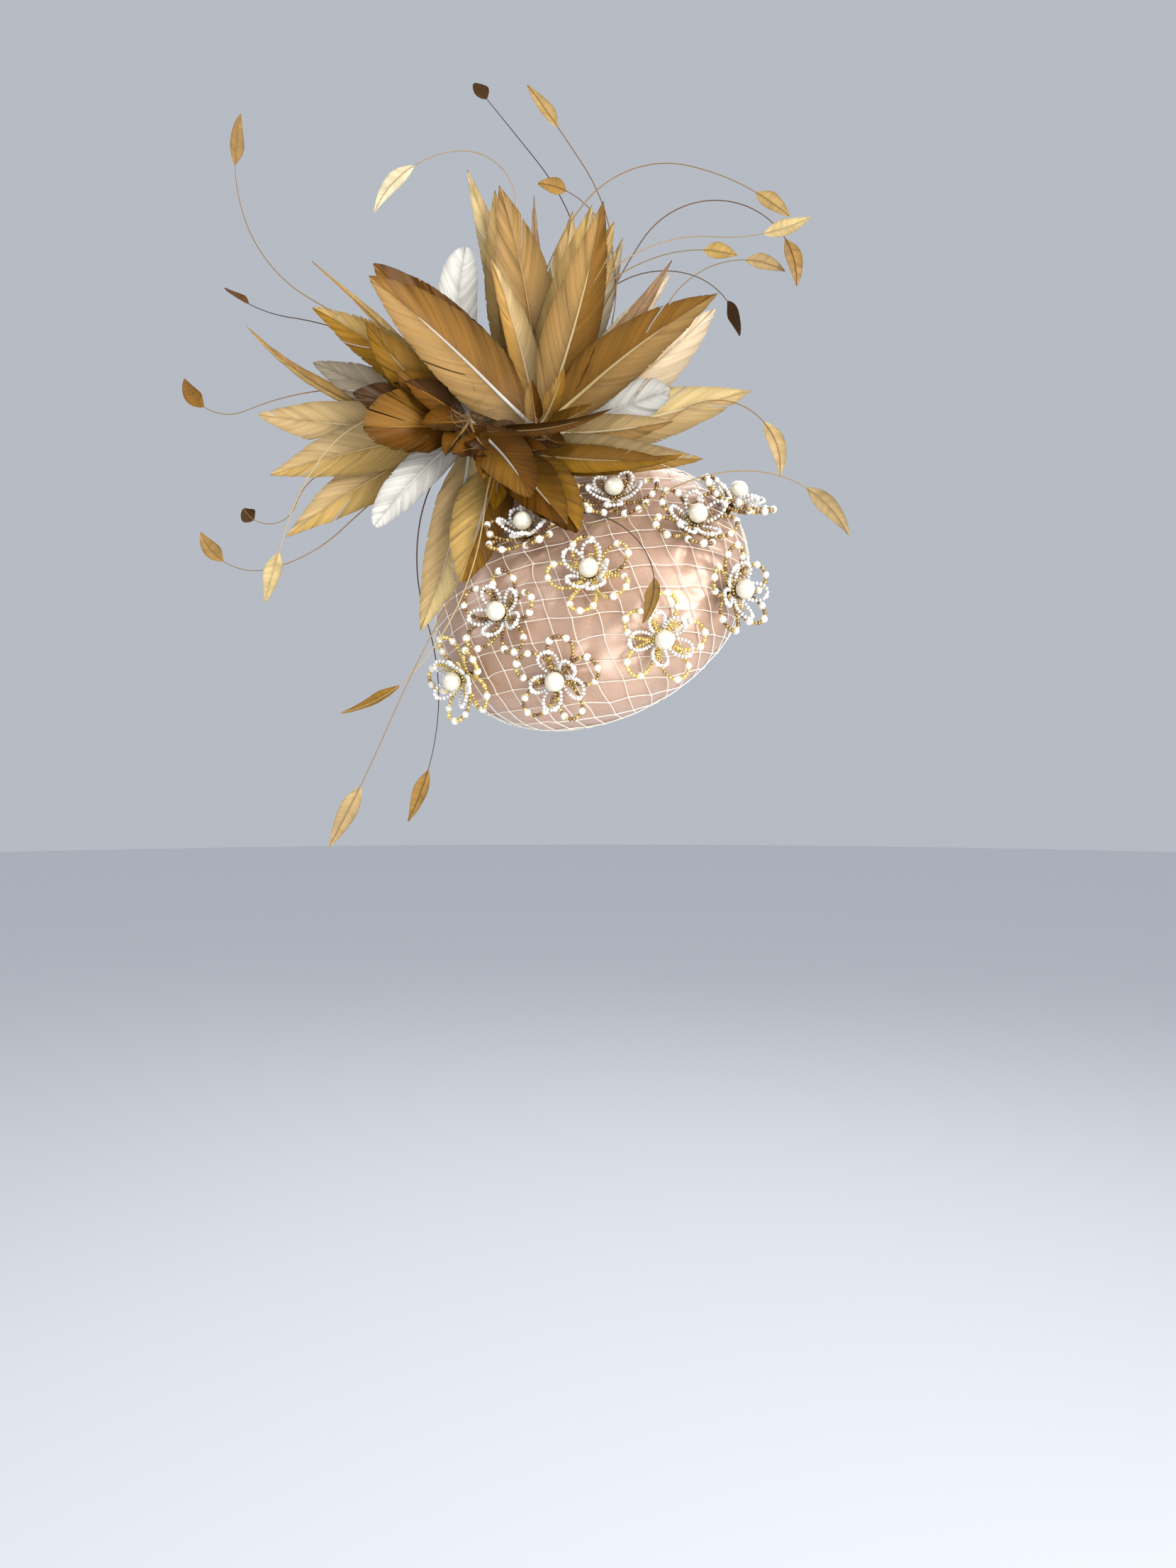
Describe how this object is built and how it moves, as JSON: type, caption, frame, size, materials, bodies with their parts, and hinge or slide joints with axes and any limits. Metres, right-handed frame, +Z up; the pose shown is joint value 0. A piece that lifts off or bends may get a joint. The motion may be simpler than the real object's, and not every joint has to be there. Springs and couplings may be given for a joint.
{
  "type": "fascinator",
  "caption": "Small domed satin hat under a coarse veil, with wired beaded flowers, a burst of broad feathers, long stripped quills and a hidden hair comb.",
  "frame": {"origin": "middle of the crown's rim, where the hat sits on a head", "axes": "+Z up as worn, +Y away from the viewer, +X to the viewer's right"},
  "size_m": [0.3568, 0.1483, 0.426],
  "materials": {
    "crown": "satin",
    "veil": "matt net",
    "plume_mount": "felt",
    "plume_back": "feather",
    "plume_middle": "feather",
    "plume_front": "feather",
    "flower_beads": "glossy metallised seed beads on wire",
    "flower_pearls": "pearl",
    "comb": "plain"
  },
  "bodies": {
    "root": {"crown": "crown", "veil": "veil", "plume_mount": "plume_mount", "plume_back": "plume_back", "plume_middle": "plume_middle", "plume_front": "plume_front", "flower_01": "flower_beads", "flower_02": "flower_beads", "flower_03": "flower_beads", "flower_04": "flower_beads", "flower_05": "flower_beads", "flower_06": "flower_beads", "flower_07": "flower_beads", "flower_08": "flower_beads", "flower_09": "flower_beads", "flower_10": "flower_beads", "pearl_01": "flower_pearls", "pearl_02": "flower_pearls", "pearl_03": "flower_pearls", "pearl_04": "flower_pearls", "pearl_05": "flower_pearls", "pearl_06": "flower_pearls", "pearl_07": "flower_pearls", "pearl_08": "flower_pearls", "pearl_09": "flower_pearls", "pearl_10": "flower_pearls", "comb": "comb"}
  },
  "joints": []
}
